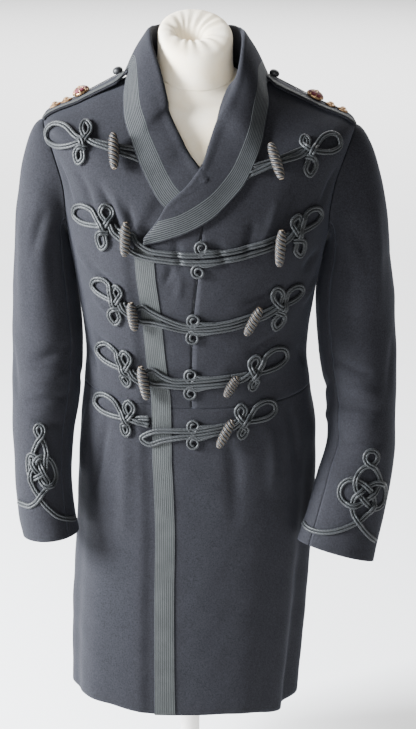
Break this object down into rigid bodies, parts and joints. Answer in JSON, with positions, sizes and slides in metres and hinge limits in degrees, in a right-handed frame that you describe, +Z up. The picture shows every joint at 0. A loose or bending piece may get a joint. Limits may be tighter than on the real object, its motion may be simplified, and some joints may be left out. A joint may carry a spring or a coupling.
{
  "type": "frock coat on a dress form",
  "caption": "Frogged frock coat with rolled collar, braided edges, shoulder straps and cuff knots, open at neck, cuffs and hem, on a limbless dress form with pole and round base.",
  "frame": {"origin": "on the floor, under the middle of the stand's round base", "axes": "+Z up; the coat's front faces -Y; +X is the wearer's left"},
  "size_m": [0.6049, 0.3311, 1.3016],
  "materials": {
    "navy_wool": "matt milled wool",
    "grey_green_braid": "ribbed mohair",
    "black_cord": "silky round cord",
    "olivet_silk": "netted silk",
    "gilt_metal": "worn gilt",
    "cream_jersey": "fine knit",
    "cream_stand": "satin"
  },
  "bodies": {
    "root": {"back_left": "navy_wool", "back_right": "navy_wool", "collar_braid_left": "grey_green_braid", "collar_braid_right": "grey_green_braid", "collar_left": "navy_wool", "collar_right": "navy_wool", "crown_left": "gilt_metal", "crown_right": "gilt_metal", "cuff_knot_left": "black_cord", "cuff_knot_right": "black_cord", "forepart_left": "navy_wool", "forepart_right": "navy_wool", "form_base": "cream_stand", "form_pole": "cream_stand", "form_torso": "cream_jersey", "frog_knot_left_1": "black_cord", "frog_knot_left_2": "black_cord", "frog_knot_left_3": "black_cord", "frog_knot_left_4": "black_cord", "frog_knot_left_5": "black_cord", "frog_knot_right_1": "black_cord", "frog_knot_right_2": "black_cord", "frog_knot_right_3": "black_cord", "frog_knot_right_4": "black_cord", "frog_knot_right_5": "black_cord", "frog_loop_2": "black_cord", "frog_loop_3": "black_cord", "frog_loop_4": "black_cord", "frog_loop_5": "black_cord", "front_braid": "grey_green_braid", "lapel_left": "navy_wool", "olivet_left_1": "olivet_silk", "olivet_left_2": "olivet_silk", "olivet_left_3": "olivet_silk", "olivet_left_4": "olivet_silk", "olivet_left_5": "olivet_silk", "olivet_right_1": "olivet_silk", "olivet_right_2": "olivet_silk", "olivet_right_3": "olivet_silk", "olivet_right_4": "olivet_silk", "pip_inner_left": "gilt_metal", "pip_inner_right": "gilt_metal", "pip_outer_left": "gilt_metal", "pip_outer_right": "gilt_metal", "shoulder_strap_left": "navy_wool", "shoulder_strap_right": "navy_wool", "side_body_left": "navy_wool", "side_body_right": "navy_wool", "skirt_left": "navy_wool", "skirt_right": "navy_wool", "strap_braid_left": "grey_green_braid", "strap_braid_right": "grey_green_braid", "strap_button_left": "olivet_silk", "strap_button_right": "olivet_silk", "top_sleeve_left": "navy_wool", "top_sleeve_right": "navy_wool", "under_sleeve_left": "navy_wool", "under_sleeve_right": "navy_wool"}
  },
  "joints": []
}
